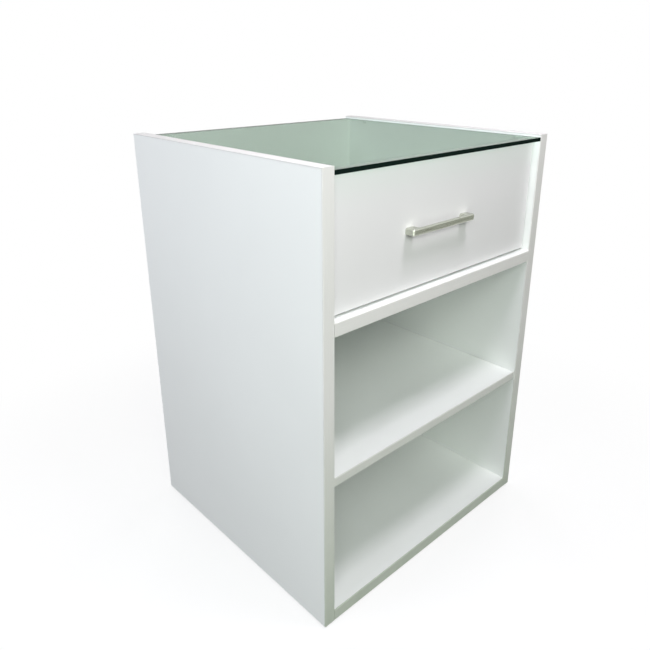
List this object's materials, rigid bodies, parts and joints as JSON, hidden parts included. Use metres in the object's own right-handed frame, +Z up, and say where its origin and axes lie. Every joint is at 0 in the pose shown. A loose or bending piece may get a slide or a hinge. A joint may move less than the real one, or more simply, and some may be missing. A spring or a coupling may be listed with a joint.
{
  "type": "glass display counter",
  "caption": "Shop counter of white laminated board with an inset glass top over a drawer on roller runners and open shelf bays below.",
  "frame": {"origin": "on the floor under the middle of the counter", "axes": "+X to the right of someone facing the drawer, +Y away from the drawer towards the customer side, +Z up"},
  "size_m": [0.65, 0.6, 0.9],
  "materials": {
    "white_melamine": "satin white laminate on chipboard",
    "white_edging": "satin white plastic edging",
    "green_float_glass": "clear float glass with green polished edges",
    "satin_nickel": "satin nickel plate",
    "zinc_plated_steel": "zinc plate",
    "white_epoxy_steel": "white epoxy coat on steel sheet",
    "white_nylon": "moulded nylon",
    "pale_plastic": "moulded pale plastic",
    "grey_plastic": "moulded grey plastic",
    "beech": "bare beech"
  },
  "bodies": {
    "carcass": {"left_side_panel": "white_melamine", "right_side_panel": "white_melamine", "back_panel": "white_melamine", "base_panel": "white_melamine", "drawer_deck": "white_melamine", "middle_shelf": "white_melamine", "glass_top": "green_float_glass", "left_front_edging": "white_edging", "right_front_edging": "white_edging", "left_top_edging": "white_edging", "right_top_edging": "white_edging", "base_edging": "white_edging", "deck_edging": "white_edging", "shelf_edging": "white_edging", "glass_stud_front_left": "pale_plastic", "glass_stud_front_right": "pale_plastic", "glass_stud_rear_left": "pale_plastic", "glass_stud_rear_right": "pale_plastic", "shelf_pin_front_left": "satin_nickel", "shelf_pin_front_right": "satin_nickel", "shelf_pin_rear_left": "satin_nickel", "shelf_pin_rear_right": "satin_nickel", "glide_front_left": "grey_plastic", "glide_front_right": "grey_plastic", "glide_rear_left": "grey_plastic", "glide_rear_right": "grey_plastic", "dowel_deck_front_left": "beech", "dowel_deck_front_right": "beech", "dowel_deck_rear_left": "beech", "dowel_deck_rear_right": "beech", "dowel_base_front_left": "beech", "dowel_base_front_right": "beech", "dowel_base_rear_left": "beech", "dowel_base_rear_right": "beech", "cabinet_runner_left": "white_epoxy_steel", "cabinet_runner_right": "white_epoxy_steel", "cabinet_runner_screw_front_left": "zinc_plated_steel", "cabinet_runner_screw_front_right": "zinc_plated_steel", "cabinet_runner_screw_rear_left": "zinc_plated_steel", "cabinet_runner_screw_rear_right": "zinc_plated_steel"},
    "drawer": {"drawer_front": "white_melamine", "drawer_side_left": "white_melamine", "drawer_side_right": "white_melamine", "drawer_back": "white_melamine", "drawer_base": "white_melamine", "drawer_runner_left": "white_epoxy_steel", "drawer_runner_right": "white_epoxy_steel", "drawer_runner_screw_front_left": "zinc_plated_steel", "drawer_runner_screw_front_right": "zinc_plated_steel", "drawer_runner_screw_rear_left": "zinc_plated_steel", "drawer_runner_screw_rear_right": "zinc_plated_steel", "handle": "satin_nickel", "handle_screw_left": "zinc_plated_steel", "handle_screw_right": "zinc_plated_steel"},
    "front_left_roller": {"cabinet_roller_left": "white_nylon"},
    "front_right_roller": {"cabinet_roller_right": "white_nylon"},
    "rear_left_roller": {"drawer_roller_left": "white_nylon"},
    "rear_right_roller": {"drawer_roller_right": "white_nylon"}
  },
  "joints": [
    {"name": "drawer_slide", "type": "slide", "parent": "carcass", "child": "drawer", "axis": [0, -1, 0], "range_m": [0, 0.375]},
    {"name": "front_left_roller_spin", "type": "hinge", "parent": "carcass", "child": "front_left_roller", "pos_m": [-0.2985, -0.235, 0.664], "axis": [1, 0, 0], "range_deg": [0, 1960]},
    {"name": "front_right_roller_spin", "type": "hinge", "parent": "carcass", "child": "front_right_roller", "pos_m": [0.2985, -0.235, 0.664], "axis": [1, 0, 0], "range_deg": [0, 1960]},
    {"name": "rear_left_roller_spin", "type": "hinge", "parent": "drawer", "child": "rear_left_roller", "pos_m": [-0.289, 0.213, 0.664], "axis": [1, 0, 0], "range_deg": [0, 1960]},
    {"name": "rear_right_roller_spin", "type": "hinge", "parent": "drawer", "child": "rear_right_roller", "pos_m": [0.289, 0.213, 0.664], "axis": [1, 0, 0], "range_deg": [0, 1960]}
  ],
  "couplings": [
    {"joint": "front_left_roller_spin", "follows": "drawer_slide", "rad_per_m": 90.909},
    {"joint": "front_right_roller_spin", "follows": "drawer_slide", "rad_per_m": 90.909},
    {"joint": "rear_left_roller_spin", "follows": "drawer_slide", "rad_per_m": 90.909},
    {"joint": "rear_right_roller_spin", "follows": "drawer_slide", "rad_per_m": 90.909}
  ]
}
